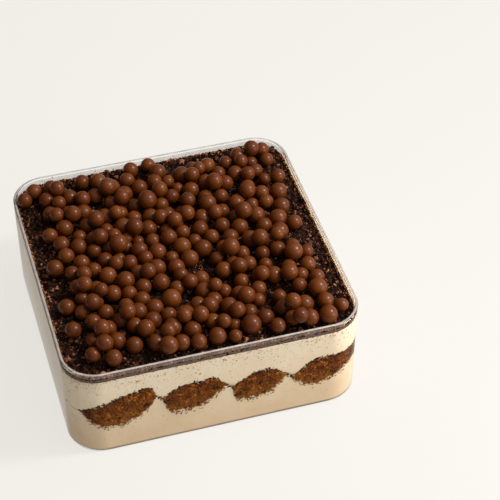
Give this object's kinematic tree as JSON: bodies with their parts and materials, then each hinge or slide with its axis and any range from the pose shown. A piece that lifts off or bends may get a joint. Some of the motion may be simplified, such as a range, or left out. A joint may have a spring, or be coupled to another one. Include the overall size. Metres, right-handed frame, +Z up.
{
  "type": "tiramisu in a clear box",
  "caption": "Layered cream and ladyfinger dessert in a square clear plastic box, topped with cocoa crumb and chocolate pearls.",
  "frame": {"origin": "centre of the box's base, on the surface that it stands on", "axes": "+Z up out of the open box, -Y towards the front wall, where the ends of the four ladyfingers show"},
  "size_m": [0.12, 0.12, 0.0541],
  "materials": {
    "clear_plastic": "clear, thin, moulded, polished",
    "mascarpone_cream": "smooth moist cream",
    "soaked_sponge": "coffee-soaked crumbly sponge",
    "cocoa_crumb": "coarse dark crumb",
    "milk_chocolate": "satin milk chocolate"
  },
  "bodies": {
    "root": {"clear_box": "clear_plastic", "cream_lower": "mascarpone_cream", "cream_upper": "mascarpone_cream", "ladyfinger_1": "soaked_sponge", "ladyfinger_2": "soaked_sponge", "ladyfinger_3": "soaked_sponge", "ladyfinger_4": "soaked_sponge", "cocoa_crumb": "cocoa_crumb", "pearl_heap": "milk_chocolate"}
  },
  "joints": []
}
